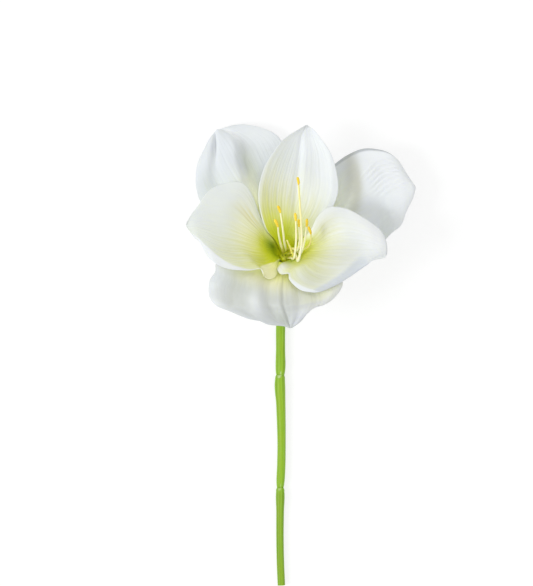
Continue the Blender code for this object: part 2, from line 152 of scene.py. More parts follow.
TOP_PETAL = Tepal(
    "top_petal", "petal_top", INNER_CLAW, (139, 88, 37), Ruffle(0.5, 2.6, 0.4),
    Look(0.93, -0.3, 0.6, 0.7, (0.95, 0.78), WHITE),
    sections=(
        ((-13.5, 15, 34), (3, 21, 29), (19, 15, 29)),
        ((-18.3, 32, 38), (5, 33, 29), (30, 27, 33)),
        ((-18.6, 46, 40), (7, 45, 30), (35.3, 40, 36.5)),
        ((-14.8, 58.5, 41), (9, 57, 31.5), (34.8, 55, 38)),
        ((-9, 69, 39.5), (11, 69, 32), (31, 69, 38)),
        ((-0.5, 80, 36.5), (12.6, 80, 31.5), (23.5, 80.5, 35.5)),
        ((9, 86, 33), (13.8, 85.7, 30), (18.7, 86.2, 32)),
        ((13.7, 88.8, 29.5), (14.5, 89, 29), (15.3, 88.7, 29.5)),
    ),
    folds=(
        (((0.22, 0.12), (0.48, 0.02), (0.72, -0.05), (0.9, -0.18), (0.98, -0.25)), 0.1, 0.12, -1.3),
        (((0.45, 0.16), (0.7, 0.12), (0.98, 0.05)), 0.12, 0.3, 0.6),
    ),
    turns=(
        (-1, ((0.2, 1), (0.4, 0.92), (0.7, 0.92), (0.9, 1)), 12, 0.05, WHITE, 0.3),
        (1, ((0.25, 1), (0.4, 0.9), (0.7, 0.9), (0.9, 1)), 16, 0.05, WHITE, 0.8),
    ),
    # Painted light and shade: darker on both halves and near the claw, lighter along the midrib valley and at
    # the left edge.
    tones=(
        (((0.5, -0.5), (0.7, -0.5), (0.95, -0.3)), 0.4, 0.3, (0.95, 0.96, 0.95)),
        (((0.45, 0.3), (0.68, 0.35), (0.9, 0.4)), 0.3, 0.5, 0.92),
        (((0.03, 0.3), (0.14, 0.4), (0.25, 0.4)), 0.5, 0.6, (0.82, 0.83, 1.3)),
        (((0.03, -0.1), (0.18, -0.1), (0.33, -0.1)), 0.9, 0.6, (0.86, 0.89, 0.8)),
        (((0.5, -0.05), (0.76, -0.16), (1, -0.3)), 0.1, 0.09, 1.05),
        (((0.2, -1), (0.5, -1), (0.8, -1)), 0.2, 0.25, 1.05),
    ),
)
LEFT_PETAL = Tepal(
    "left_petal", "petal_left", INNER_CLAW, (244, 185, 143), Ruffle(0.35, 3.2, 1.9),
    Look(0.96, -0.4, 0.6, 0.8, (0.96, 0.92), GREEN_WHITE),
    sections=(
        ((-5.4, -12, 48), (-16, 3.5, 36.5), (-13.5, 14.5, 31)),
        ((-8.9, -16.4, 52.5), (-20, 5.5, 39.5), (-16.3, 21, 32)),
        ((-13.6, -15.6, 55), (-26, 7.5, 42.5), (-19.3, 28.5, 33)),
        ((-17, -12, 57), (-33, 10, 45.5), (-23, 39, 35)),
        ((-26, -12.8, 59), (-41, 12.5, 49), (-30, 48, 38)),
        ((-39.2, -11, 60), (-50, 14.5, 52), (-42, 48, 41.5)),
        ((-50.2, -3.4, 60.5), (-57.5, 16.5, 54.5), (-53.5, 43, 45.5)),
        ((-59.6, 6.2, 59), (-63.8, 17.8, 56), (-61.5, 31.5, 50)),
        ((-66.2, 12.8, 57.5), (-67.8, 18.3, 56), (-67.2, 23.4, 54)),
        ((-68.9, 17.5, 56), (-69.3, 18.3, 56), (-69.1, 19.2, 56)),
    ),
    turns=(
        (
            -1, ((0.12, 1), (0.17, 0.88), (0.21, 0.8), (0.28, 0.69), (0.35, 0.74), (0.42, 0.92), (0.48, 1)),
            14, 0.03, CREAM, 0.9,
        ),
        (
            -1, ((0.5, 1), (0.6, 0.88), (0.7, 0.69), (0.8, 0.6), (0.88, 0.6), (0.95, 0.75), (1, 1)),
            12, 0.04, RIM_WHITE, 0.9,
        ),
    ),
    tints=(
        (((0.2, -1), (0.3, -1), (0.42, -1)), 0.25, 0.12, GREEN_WHITE, 0.6),
    ),
    # Mostly painted light and shade: darker in the throat and the crease by the lobe, lighter across the
    # middle and at the left rim; the yellower band and the three narrow streaks are colour.
    tones=(
        (((0.19, 0), (0.36, 0.2), (0.6, 0.4)), 0.8, 0.9, (1.13, 1.1, 1)),
        (((0.01, 0.45), (0.14, 0.5), (0.27, 0.55)), 0.9, 0.42, (0.32, 0.43, 0.2)),
        (((0.08, 0.2), (0.21, 0.3), (0.34, 0.4)), 1.2, 0.6, (0.96, 0.97, 0.3)),
        (((0, -0.7), (0.12, -0.6), (0.25, -0.6)), 0.5, 0.6, (0.58, 0.66, 0.3)),
        (((0.24, -0.62), (0.33, -0.6), (0.44, -0.7)), 0.12, 0.2, (0.88, 0.89, 0.8)),
        (((0.28, 0.56), (0.42, 0.59), (0.58, 0.62)), 0.025, 0.03, (0.88, 0.84, 0.7)),
        (((0.24, 0.67), (0.4, 0.66), (0.56, 0.7)), 0.03, 0.025, (0.86, 0.82, 0.66)),
        (((0.26, 0.79), (0.4, 0.76), (0.5, 0.77)), 0.025, 0.03, (0.88, 0.83, 0.62)),
        (((0.1, -0.95), (0.27, -0.95), (0.44, -0.95)), 0.3, 0.22, (1.16, 1.15, 1.1)),
        (((0.45, -0.6), (0.62, -0.5), (0.75, -0.4)), 0.3, 0.4, (0.93, 0.92, 0.86)),
    ),
)
RIGHT_PETAL = Tepal(
    "right_petal", "petal_right", INNER_CLAW, (32, -20, -68), Ruffle(0.3, 3, 0.7),
    Look(0.92, 0.02, 0.5, 0.8, (0.7, 0.94), WHITE),
    sections=(
        ((10.5, 8.7, 31), (11, -0.6, 35.5), (-5.2, -9.2, 43.2)),
        ((12.5, 10, 33.5), (14.5, -0.8, 38.5), (-6.1, -11.2, 48.3)),
        ((15, 12.5, 36), (18.5, -1, 41), (-4, -13.9, 51.5)),
        ((17.5, 16, 38), (22.5, -1, 43.5), (1.5, -14.2, 53.5)),
        ((19.5, 20, 39.5), (25.5, -1, 45.5), (2.4, -18.5, 56)),
        ((21.5, 24, 41), (29, -1, 47.5), (7.2, -23.8, 58.8)),
        ((29, 30.8, 44), (38.5, -1, 52), (18.5, -28, 61)),
        ((42, 30, 46), (49, -1, 56), (34, -25, 58)),
        ((55, 22.8, 49), (58, -0.5, 58), (47.5, -17.5, 55.5)),
        ((61, 18.8, 50.5), (62.5, 0, 58), (56, -8.3, 55)),
        ((66, 14.3, 52), (66, 0.5, 57.5), (61.6, -5.5, 55)),
        ((69.6, 6.5, 54.5), (69, 0, 56.5), (66.4, -4.8, 55)),
        ((69.9, -0.5, 56), (69.4, -2.4, 56), (68.6, -4.1, 56)),
    ),
    folds=(
        (((0.18, 0.93), (0.25, 0.91), (0.32, 0.93)), 0.12, 0.12, 2.2),
    ),
    turns=(
        (1, ((0.14, 1), (0.18, 0.86), (0.235, 0.77), (0.28, 0.84), (0.33, 1)), 14, 0.07, CREAM_WHITE, 0),
        (1, ((0.23, 1), (0.28, 0.74), (0.33, 0.7), (0.42, 0.8), (0.52, 1)), 9, 0.12, WHITE, 0),
        (1, ((0.34, 1), (0.4, 0.94), (0.52, 0.94), (0.6, 1)), 18, 0.03, WHITE, 1),
        # The reflexed lower margin is painted bluish grey as shade.
        (
            1, ((0.5, 1), (0.56, 0.62), (0.6, 0.42), (0.66, 0.15), (0.73, 0.1), (0.8, 0.4), (0.86, 1)),
            4, 0.2, MARGIN_SHADE_BLUE, 0.7,
        ),
    ),
    tints=(
        (((0.15, 1), (0.24, 0.97), (0.34, 1)), 0.29, 0.17, CREAM_WHITE, 1),
        (((0.24, 0.8), (0.36, 0.8), (0.52, 0.88)), 0.2, 0.18, GREEN_WHITE, 0.5),
    ),
    # Painted light and shade: darker along the midrib, in a patch by the claw and towards the lower margin,
    # lighter towards the tip and near the throat.
    tones=(
        (((0.3, 0.1), (0.42, 0.08), (0.6, 0.05), (0.85, 0.1)), 0.4, 0.4, (0.85, 0.84, 0.82)),
        (((0.58, -0.8), (0.8, -0.6), (1.08, -0.1)), 0.5, 0.5, (1.12, 1.1, 1.08)),
        (((0.12, -0.4), (0.27, -0.4), (0.42, -0.5)), 0.5, 0.35, (1.12, 1.12, 1.2)),
        (((0.12, 0.58), (0.21, 0.6), (0.3, 0.64)), 0.22, 0.16, (0.55, 0.64, 0.25)),
        (((0.28, 0.75), (0.45, 0.72), (0.62, 0.6)), 0.25, 0.25, (0.88, 0.88, 0.86)),
        (((0.78, 0.3), (0.87, 0.55), (0.98, 0.8)), 0.08, 0.08, (1.12, 1.12, 1.1)),
        (((0.7, 0.15), (0.8, 0.2), (0.9, 0.3)), 0.2, 0.2, 0.95),
        (((0.2, 0.05), (0.36, 0.05), (0.52, 0.05)), 0.4, 0.35, (0.91, 0.91, 0.85)),
    ),
)
UPPER_LEFT_SEPAL = Tepal(
    "upper_left_sepal", "sepal_upper_left", OUTER_CLAW, (172, 128, 84), Ruffle(0.6, 2.3, 2.2),
    Look(0.95, 0, 0.6, 0.5, (0.7, 0.7), GREY_WHITE),
    sections=(
        ((-26, 12, 30), (-17, 22, 26), (0, 22, 19)),
        ((-42, 21, 26), (-24, 36, 26), (2, 38, 13)),
        ((-57.3, 31.5, 21), (-31, 50, 25), (4, 54, 9)),
        ((-63.2, 45, 16), (-38, 63, 22), (2, 68, 8)),
        ((-62.8, 61, 12.5), (-43, 74, 17), (-7, 83.5, 8.5)),
        ((-57.4, 73, 9), (-47, 82, 11), (-26, 90.3, 8)),
        ((-52.4, 82.3, 3.4), (-48.8, 85.8, 3.2), (-42.5, 89, 3.6)),
        ((-50.3, 84.8, 0.6), (-49.8, 85.6, 0.5), (-49, 86.2, 0.6)),
    ),
    folds=(
        (
            ((0.33, -0.1), (0.47, -0.07), (0.53, -0.02), (0.6, 0.02), (0.72, 0.15), (0.8, 0.2), (1, 0)),
            0.35, 0.13, 3,
        ),
        (((0.33, 0.17), (0.47, 0.2), (0.6, 0.28), (0.72, 0.42), (0.8, 0.46), (0.88, 0.4)), 0.12, 0.5, -3.8),
        (((0.5, -0.54), (0.62, -0.46), (0.72, -0.34), (0.82, -0.26), (1, -0.2)), 0.12, 0.12, -2),
        (((0.66, -0.33), (0.73, -0.26), (0.85, -0.19), (0.94, -0.12)), 0.03, 0.05, -1.2),
    ),
    # Painted light and shade: darker in the pleat, the valley and towards the left edge, lighter beyond the
    # valley, near the right edge and at the base.
    tones=(
        (((0.52, -0.48), (0.7, -0.34), (0.82, -0.25), (1.08, -0.2)), 0.14, 0.06, (0.76, 0.76, 0.77)),
        (((0.36, -0.7), (0.55, -0.65), (0.76, -0.55)), 0.6, 0.35, (0.78, 0.79, 0.77)),
        (((0.5, -0.9), (0.8, -0.8), (1.1, -0.6)), 0.5, 0.4, 0.93),
        (((0.5, -0.25), (0.72, -0.12), (0.98, -0.05)), 0.12, 0.14, (0.93, 0.93, 0.94)),
        (((0.36, 0.16), (0.58, 0.28), (0.8, 0.38)), 0.1, 0.24, (0.88, 0.89, 0.78)),
        (((0.68, 0.32), (0.86, 0.38), (1.05, 0.36)), 0.12, 0.14, (1.26, 1.25, 1.23)),
        (((0.7, 0.1), (0.88, 0.12), (1, 0.1)), 0.1, 0.1, 0.9),
        (((0.5, 0.85), (0.72, 0.85), (0.96, 0.85)), 0.4, 0.6, (1.13, 1.12, 1.1)),
        (((0.14, 0.05), (0.37, 0.12), (0.6, 0.2)), 0.25, 0.2, (1.72, 1.66, 1.3)),
    ),
)
# Fine wrinkles across the right sepal: height, and the points of the line.
WRINKLES = (
    (0.8, (0.56, -0.42), (0.7, -0.58), (0.84, -0.8)),
    (0.96, (0.57, -0.33), (0.71, -0.48), (0.85, -0.69)),
    (0.96, (0.58, -0.24), (0.72, -0.38), (0.86, -0.58)),
    (0.88, (0.58, -0.15), (0.72, -0.28), (0.86, -0.47)),
    (0.8, (0.59, -0.06), (0.73, -0.18), (0.87, -0.36)),
    (0.72, (0.6, 0.04), (0.74, -0.07), (0.88, -0.24)),
    (0.64, (0.62, 0.14), (0.76, 0.04), (0.9, -0.12)),
)
RIGHT_SEPAL = Tepal(
    "right_sepal", "sepal_right", OUTER_CLAW, (76, 28, -18), Ruffle(0.6, 2.8, 0),
    Look(0.9, 0, 0.6, 0.4, (0.7, 0.7), WHITE),
    sections=(
        ((10, 26, 19), (20, 16, 25), (24, 3, 28)),
        ((20, 44, 17), (35, 25, 24), (38, 3, 21)),
        ((32, 60, 19), (50, 34, 25), (50, 0, 14)),
        ((44.5, 69.8, 21), (62, 41, 25), (61, 1, 9)),
        ((60, 73.2, 22), (72, 45, 25), (76, 14.6, 24)),
        ((69.6, 71.2, 22), (78, 46, 24.5), (81, 19, 25)),
        ((76.6, 66.8, 21.5), (82.8, 46.6, 24), (84.8, 28.4, 24)),
        ((85.6, 54.4, 19.5), (88.8, 46.6, 22), (90, 39, 22)),
        ((90.6, 46.9, 20), (91.2, 45.4, 20.5), (91, 44, 20.5)),
    ),
    folds=(
        (((0.5, 0.15), (0.65, 0.1), (0.95, 0.1)), 0.3, 0.3, -0.8),
        *((line, 0.02, 0.03, height) for height, *line in WRINKLES),
    ),
    turns=(
        # The turned-back left edge is painted dark grey as shade.
        (-1, ((0.4, 1), (0.5, 0.94), (0.75, 0.93), (0.9, 1)), 30, 0.03, EDGE_SHADE_GREY, 0.75),
        (1, ((0.3, 1), (0.42, 0.7), (0.52, 0.55), (0.62, 0.75), (0.7, 1)), 40.2, 0.1, WHITE, 0),
    ),
    # Painted light and shade: the top petal's shadow as a dark olive band, lighter in the corner beside it,
    # across the tip and over the upper blade.
    tones=(
        (
            ((0.38, 0.4), (0.5, -0.1), (0.545, -0.35), (0.59, -0.7), (0.7, -1.4)),
            0.5, 0.26, (0.74, 0.72, 0.63),
        ),
        (((0.26, -0.3), (0.42, -0.4), (0.56, -0.9)), 0.4, 0.35, (1.26, 1.25, 1.15)),
        (((0.86, -0.5), (0.98, 0), (1.1, 0.3)), 1, 1, 1.1),
        (((0.5, 0), (0.8, 0), (1.1, 0)), 2, 2, (1.05, 1.05, 1.06)),
        (((0.55, -0.6), (0.75, -0.4), (1, 0.1)), 0.8, 0.6, (1.07, 1.06, 1.06)),
    ),
)
LOWER_SEPAL = Tepal(
    "lower_sepal", "sepal_lower", OUTER_CLAW, (318, 265, 213), Ruffle(0.8, 4.5, 1),
    Look(0.78, 0, 0.3, 0.5, (0.6, 0.7), SHADED_WHITE),
    sections=(
        ((15, -8, 37), (-0.5, -13, 41), (-18, -4, 35)),
        ((26, -11, 42), (0, -19, 46.5), (-36, -5, 39)),
        ((36, -15, 46.5), (0.3, -27, 54), (-48.8, -8, 43)),
        ((38.3, -19, 48), (0.5, -31.5, 57), (-49.4, -13.6, 44.5)),
        ((39.2, -23, 49), (0.8, -36, 59.5), (-53.4, -19.8, 46)),
        ((36.6, -29.5, 50.5), (1.1, -38.5, 60.5), (-53.2, -31, 48)),
        ((32, -33.2, 52), (1.5, -41.3, 61.5), (-49.2, -36.6, 49)),
        ((24.8, -33.6, 54), (2.1, -45, 61), (-41.3, -41, 50)),
        ((17.2, -39.6, 55), (2.4, -48.8, 59.5), (-27, -46, 52)),
        ((11, -47.1, 56), (2.6, -51.4, 57.5), (-10, -48.6, 54)),
        ((5.2, -52.1, 55), (3, -52.7, 54.5), (0.8, -52.4, 55)),
    ),
    folds=(
        (((0.25, 0.42), (0.49, 0.46), (0.62, 0.47), (0.75, 0.56), (0.95, 0.6)), 0.13, 0.12, 2.2),
        (((0.25, 0.7), (0.5, 0.72), (0.62, 0.75), (0.9, 0.8)), 0.12, 0.12, -1.4),
        (((0.3, 0.32), (0.51, 0.3), (0.64, 0.25), (0.8, 0.3), (0.97, 0.3)), 0.1, 0.1, -1.8),
        (((0.3, 0.1), (0.55, 0.12), (0.63, 0.11), (0.98, 0.08)), 0.04, 0.03, 0.7),
        (((0.35, 0.05), (0.55, 0.06), (0.7, 0.05), (0.98, 0.02)), 0.035, 0.035, -0.7),
        (((0.35, -0.09), (0.7, -0.09), (0.98, -0.08)), 0.05, 0.05, 0.5),
        (((0.35, -0.2), (0.7, -0.2), (0.98, -0.2)), 0.08, 0.08, -0.5),
        (((0.35, -0.34), (0.6, -0.33), (0.95, -0.4)), 0.1, 0.1, 0.9),
        (((0.3, -0.62), (0.6, -0.6), (0.95, -0.6)), 0.1, 0.1, -0.9),
    ),
    tints=(
        (((0.1, 0.3), (0.18, 0.3), (0.26, 0.3)), 0.15, 0.15, CREAM, 0.7),
    ),
    # Painted light and shade: a highlight on the ridge, lighter near the throat and towards both edges,
    # darker in bands between; one band by the claw is also yellower.
    tones=(
        (((0.4, 0.44), (0.55, 0.44), (0.66, 0.46), (0.78, 0.56)), 0.1, 0.08, (1.3, 1.3, 1.36)),
        (((0.4, -0.9), (0.6, -0.7), (0.8, -0.5)), 0.8, 0.3, (1.32, 1.3, 1.22)),
        (((0.55, 0.08), (0.82, 0.15), (1.1, 0.15)), 0.16, 0.2, (0.76, 0.78, 0.7)),
        (((0.42, -0.15), (0.62, -0.15), (0.9, -0.14)), 0.07, 0.07, (1.06, 1.06, 1.07)),
        (((0.3, 0.5), (0.4, 0.5), (0.5, 0.5)), 0.2, 0.25, (1.12, 1.1, 1.1)),
        (((0.4, -0.8), (0.52, -0.6), (0.62, -0.3)), 0.4, 0.35, (1.3, 1.28, 1.05)),
        (((0.13, 0), (0.33, 0.08), (0.54, 0.18)), 0.9, 0.9, (1.62, 1.56, 1.25)),
        (((0.4, 0.75), (0.6, 0.72), (0.85, 0.72)), 0.2, 0.2, (0.92, 0.92, 0.9)),
        (((0.55, 0.7), (0.75, 0.75), (0.95, 0.8)), 0.25, 0.3, (0.84, 0.84, 0.82)),
        (((0.08, 0.4), (0.15, 0.4), (0.22, 0.4)), 0.4, 0.4, (1.15, 1.25, 0.6)),
        (((0.4, 1.1), (0.6, 1.05), (0.85, 1)), 0.2, 0.2, 1.3),
        (((0.5, -0.5), (0.75, -0.5), (1, -0.4)), 0.2, 0.2, (1.2, 1.2, 1.24)),
    ),
)
TEPALS = (TOP_PETAL, LEFT_PETAL, RIGHT_PETAL, UPPER_LEFT_SEPAL, RIGHT_SEPAL, LOWER_SEPAL)

# Stem, from the cut end to the flower: y, x, radius. It narrows at the foot of each joint ring.
STEM_POINTS = (
    (-236, -3.1, 2.6), (-219, -3.8, 2.6), (-201, -4.1, 2.6), (-184, -4, 2.7), (-169, -3.9, 2.85),
    (-166.6, -3.9, 2.5), (-164, -3.8, 2.75), (-151, -3.2, 2.95), (-139, -3, 2.9), (-108, -3.5, 3.25),
    (-90, -4.1, 3.45), (-86.8, -3.9, 3), (-84, -3.8, 3.3), (-68, -3.7, 3.2), (-52, -3.6, 3.25),
    (-40, -2.8, 3.3), (-31, -1.4, 3.3)
)
CUT_END = -236.1
# The stem's top and the ovary bend up to the tube: (x, y, z, radius).
BEND_POINTS = ((-0.5, -25, 3.6, 3.3), (0, -19.7, 4.45, 3.2))
LYING_TO = BEND_POINTS[0][1] - 6
OVARY_POINTS = (
    (0, -19.9, 4.45, 3.1), (0, -17.4, 4.8, 4.2), (0, -14.3, 5.8, 4.9), (0, -11.6, 7.3, 4.7),
    (0, -9.75, 9, 3.9), (0, -8.6, 11, 3.3)
)
STEM_RINGS, STEM_SIDES = 420, 96
OVARY_RINGS, OVARY_SIDES = 48, 48
LOBE_DEPTH = 0.07

# At a joint the stem is pinched, with a swollen lip below. Its pale marks, the crescent on the lip a painted
# highlight, have this share of their colour.
JOINTS = (-86.8, -166.6)
JOINT_GLINTS_AND_SCUFFS = (0.9, 0.45)
PINCH_DEPTH, PINCH_WIDTH = 0.18, 0.7
LIP_HEIGHT, LIP_WIDTH, LIP_BELOW = 0.22, 0.9, 1.7
# Painted light and shade down the stem: change of tone, place across it as seen from above (-1 to 1) and
# width.
LIGHT_AND_SHADE_STRIPES = ((0.14, 0.3, 0.3), (-0.13, -0.6, 0.4), (-0.07, 0.02, 0.07))
FOOT_DARKENING, FOOT_DARKENING_OVER = 0.14, 6
# The stem's ribs: depth as a share of its radius, how many go round it, and their turn from ring to ring.
RIBS = ((0.01125, 17, 0), (0.0075, 29, 0.02))
# A joint's marks, a crescent on the lip that is a painted highlight and a pale curl above the pinch: height
# above the joint, thickness, how much it curves up from its lowest place, place across the stem, width and
# strength.
GLINT_AND_SCUFF_MARKS = ((-LIP_BELOW, 0.4, 2, -0.15, 0.4, 1), (1.8, 1.1, 0, 0.08, 0.12, 0.8))
GLINT_AND_SCUFF_LOWEST = -0.25

# The tube, and the fleshy cushion on it in the throat: height along the axis from the mouth, and radius.
TUBE_PROFILE = ((-26, 3.3), (-23, 4.7), (-20, 6), (-17.5, 7.3), (-15.6, 7.6))
CUSHION_PROFILE = ((-15.6, 7.2), (-16.7, 4.6), (-16.5, 4.1), (-13.3, 4), (-12.5, 3.7), (-12.2, 3.2))
TUBE_RINGS, TUBE_SIDES = 24, 72
TUBE_RIB_DEPTH, TUBE_RIBS_OVER = 0.05, 8
TUBE_MAP_LENGTH = 1.5

# A filament stands on the cushion at this angle, passes the throat at (distance from the axis, angle), and
# then follows its route to its anther's foot: (x, y, z). The last point is the anther's tip.
STAMENS = (
    (190, (2.3, 190), ((-3.8, 6, 39), (-5.2, 12, 48), (-5.6, 17, 54.5)), (-8, 22.3, 58.5)),
    (138, (1, 140), ((-1.4, 8, 43), (-2.7, 18, 56), (-4, 26.6, 62.5)), (-6, 31.6, 65)),
    (276, (4.7, 285), ((3.2, -4.2, 36.3), (5.2, -4.7, 43.5), (6.8, 6, 52), (6.6, 21, 60)), (6, 26.7, 62)),
    (86, (3.2, 60), ((6.3, 1.9, 32.6), (8.1, 1.2, 39.5), (9.4, 8, 47), (8.8, 17, 55)), (8.4, 22.3, 58)),
    (358, (4.9, 8), ((8.5, -0.1, 33.7), (10.2, -1, 41), (12.3, 5, 50), (14, 17, 60)), (14.2, 22.7, 62)),
    (34, (4.9, 32), ((8.7, 2.9, 32.6), (12.2, 1.8, 39.5), (16.3, 5, 45), (17.3, 12, 50)), (15.2, 17.5, 53)),
)
STAMINODE = (310, (4.6, 312), ((5.1, -3.5, 35.5), (3.8, 0.5, 38.5), (2.2, 4.5, 42), (0.6, 8, 46)))
STYLE_THROAT = (2.6, 340)
STYLE = (
    (6.2, -1.5, 36.5), (8.3, -6.2, 49.5), (10.4, 3, 56), (10.3, 19, 67), (9.2, 34.5, 76), (8.4, 45.5, 79)
)
STIGMA_TIP = (7.5, 51, 80)
FOOT_HEIGHT = -11.4
FOOT_RADIUS = 2.6
THROAT_HEIGHT = -8
FILAMENT_RADIUS = 0.72
STYLE_RADIUS = 0.75
ANTHER_RADIUS = 1.3
RINGS_PER_POINT, STRAND_SIDES = 14, 14
# A strand's width at its foot, swelling and tip, as shares of its radius, and how far up it swells.
FOOT_WIDTH, SWELL_WIDTH, SWELL_AT = 0.8, 1.25, 0.3
FILAMENT_TIP, BARE_TIP, STYLE_TIP = 0.75, 0.7, 0.8
ANTHER_RINGS, ANTHER_SIDES = 40, 28
ANTHER_BEND = 0.25
ANTHER_FOOT_WIDTH = 0.82
ANTHER_FLATNESS = 0.12
GROOVE_DEPTH, GROOVE_WIDTH = 0.28, 0.32

# A tepal's inner face, by centimetres from the claw's foot, over THROAT_SPAN. Its own white comes into these
# colours from OWN_WHITE_FROM on, over OWN_WHITE_OVER.
THROAT_SPAN = 8
THROAT_COLOURS = (
    (0.5, (0.86, 0.90, 0.015)), (1.3, (0.63, 0.69, 0.01)), (2, (0.62, 0.67, 0.03)),
    (2.6, (0.68, 0.71, 0.13)), (3.4, (0.76, 0.78, 0.38)), (4.4, (0.82, 0.84, 0.64)),
    (5.8, (0.86, 0.89, 0.82))
)
OWN_WHITE_FROM, OWN_WHITE_OVER = 2, 2.4
OUTER_SPAN = 5
OUTER_COLOURS = (
    (0, (0.30, 0.40, 0.05)), (0.3, (0.52, 0.60, 0.22)), (0.65, (0.76, 0.80, 0.66)), (1, COOL_WHITE)
)

# A filament, by centimetres from its foot, over FILAMENT_SPAN.
FILAMENT_SPAN = 9
PALE_COLOURS = (
    (0.2, (0.54, 0.62, 0.01)), (0.9, (0.90, 0.85, 0.20)), (1.7, (0.97, 0.95, 0.60)),
    (4, (0.97, 0.94, 0.62)), (9, (0.93, 0.84, 0.30))
)
# The stamen on the far right and the bare one are golden.
GOLDEN_STAMEN = 6
GOLDEN_COLOURS = ((0.9, (0.88, 0.82, 0.10)), (1.9, (0.93, 0.88, 0.22)), (2.6, (0.95, 0.88, 0.32)))
STEM_COLOURS = ((0.3, (0.19, 0.39, 0.012)), (0.5, (0.30, 0.525, 0.03)), (0.7, (0.41, 0.64, 0.09)))
OVARY_COLOURS = ((0.3, (0.20, 0.34, 0.02)), (0.7, (0.38, 0.52, 0.08)))
TUBE_COLOURS = ((0.3, (0.80, 0.84, 0.012)), (0.7, (0.92, 0.93, 0.10)))
POLLEN_COLOURS = ((0.35, (0.90, 0.52, 0.02)), (0.5, (0.96, 0.72, 0.04)), (0.68, (0.98, 0.84, 0.14)))

# Grain in features to a metre, and how all petals and all green parts take the light.
PETAL_GRAIN = 2600
CLOUD_GRAIN = 55
GREEN_GRAIN = 1800
POLLEN_GRAIN = 2400
PETAL_FLESH = {
    "Specular_IOR_Level": 0.35,
    "Subsurface_Weight": 0.15,
    "Subsurface_Radius": (1, 1, 0.7),
    "Subsurface_Scale": 0.002,
}
GREEN_FLESH = {"Subsurface_Weight": 0.05, "Subsurface_Scale": 0.001}

# In metres: the camera looks straight down from this place, and frames VIEW_HEIGHT at the petals.
CAMERA_HEIGHT = 2.4
CAMERA_FROM = (-0.01365, -0.0287, CAMERA_HEIGHT)
PETAL_HEIGHT = 0.034
VIEW_HEIGHT = 0.4102
VIEW_END = 100
SENSOR_MM = 36

FLOOR_SIZE = 60
FLOOR_DROP = 0.0004
FLOOR_GLOW = 0.7
FLOOR_GLOW_STRENGTH = 1.08
WORLD_STRENGTH = 0.72
WORLD_TINT = (0.985, 0.99, 0.975)
# Lamps stand at these places from the flower's mouth.
KEY_FROM = (-1.95, -0.42, 1.9)
KEY_SIZE = 1
KEY_POWER = 30
KEY_TINT = (0.955, 0.98, 1)
THROAT_LIGHT_FROM = 0.5 * AXIS
THROAT_LIGHT_RADIUS = 0.02
THROAT_LIGHT_CONE = radians(6)
THROAT_LIGHT_POWER = 2.4


@cache
def flower_shift():
    """Where the flower's frame is in the model's, from the tube's middle and the stem's cut end."""
    tube_low, tube_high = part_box("perianth_tube")
    stem_low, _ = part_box("stem")
    return np.array([(tube_low.x + tube_high.x) / 2, stem_low.y - CUT_END * MM, 0])


def on_axis(height, radius, angle):
    """The point at this height on the axis from the mouth, this far off it, at this angle round it."""
    turn = radians(angle)
    return MOUTH + height * AXIS + radius * (cos(turn) * SIDE + sin(turn) * FRONT)


def distances(path):
    """How far along a path each of its points is."""
    return np.concatenate([[0], np.cumsum(np.linalg.norm(np.diff(path, axis=0), axis=1))])


def smooth_curve(points, knots, at):
    """A smooth curve through points at these knots, read at the values in at."""
    steps = np.diff(knots)
    slopes = np.diff(points, axis=0) / steps[:, None]
    tangents = np.empty_like(points)
    before, after = steps[:-1, None], steps[1:, None]
    tangents[1:-1] = (slopes[:-1] * after + slopes[1:] * before) / (before + after)
    tangents[0] = 1.5 * slopes[0] - 0.5 * tangents[1]
    tangents[-1] = 1.5 * slopes[-1] - 0.5 * tangents[-2]
    low = np.clip(np.searchsorted(knots, at, side="right") - 1, 0, len(steps) - 1)
    step = steps[low][:, None]
    part = ((at - knots[low]) / steps[low])[:, None]
    rest = 1 - part
    return (
        rest**2 * (1 + 2 * part) * points[low]
        + part**2 * (1 + 2 * rest) * points[low + 1]
        + rest**2 * part * step * tangents[low]
        - part**2 * rest * step * tangents[low + 1]
    )


def smoothed(points, count):
    """count points along the smooth curve through points, evenly spread over its length."""
    points = np.array(points, float)
    knots = distances(points[:, :3])
    return smooth_curve(points, knots, np.linspace(0, knots[-1], count))


def tepal_rails(tepal):
    """The left edge, midrib and right edge of a tepal, each a point for every row."""
    claw = [[on_axis(height, radius, angle) for angle in tepal.claw] for height, radius in tepal.claw_rings]
    sections = np.array(claw + [list(section) for section in tepal.sections], float)
    steps = np.linalg.norm(np.diff(sections, axis=0), axis=2).mean(axis=1)
    knots = np.concatenate([[0], np.cumsum(steps)]) / steps.sum()
    return [smooth_curve(sections[:, rail], knots, ALONG[:, 0]) for rail in range(3)]


def past_line(line, edge=1):
    """How far each place of the grid is beyond the line, towards this edge. Past its ends the line holds."""
    knots, values = np.array(line, float).T
    reached = np.clip(ALONG[:, 0], knots[0], knots[-1])
    return edge * ACROSS - smooth_curve(values[:, None], knots, reached)


def bump_at(values, centre, width):
    """1 at the centre, falling off smoothly over width."""
    return np.exp(-(((values - centre) / width) ** 2))


def band_share(line, left, right, fade):
    """How strongly a fold, tint or tone is felt at each place, from 0 to 1."""
    start, end = line[0][0], line[-1][0]
    ends = np.sin(pi * np.clip((ALONG - start) / (end - start), 0, 1)) ** fade
    offset = past_line(line)
    return ends * bump_at(offset, 0, np.where(offset < 0, left, right))


def turn_lift(turns):
    """How far turned margins drop each place, as a negative lift."""
    lift = np.zeros((ROWS, COLUMNS))
    for edge, line, fall, bend, *_ in turns:
        past = np.clip(past_line(line, edge), 0, None)
        lift -= fall * past**2 / (past + bend)
    return lift


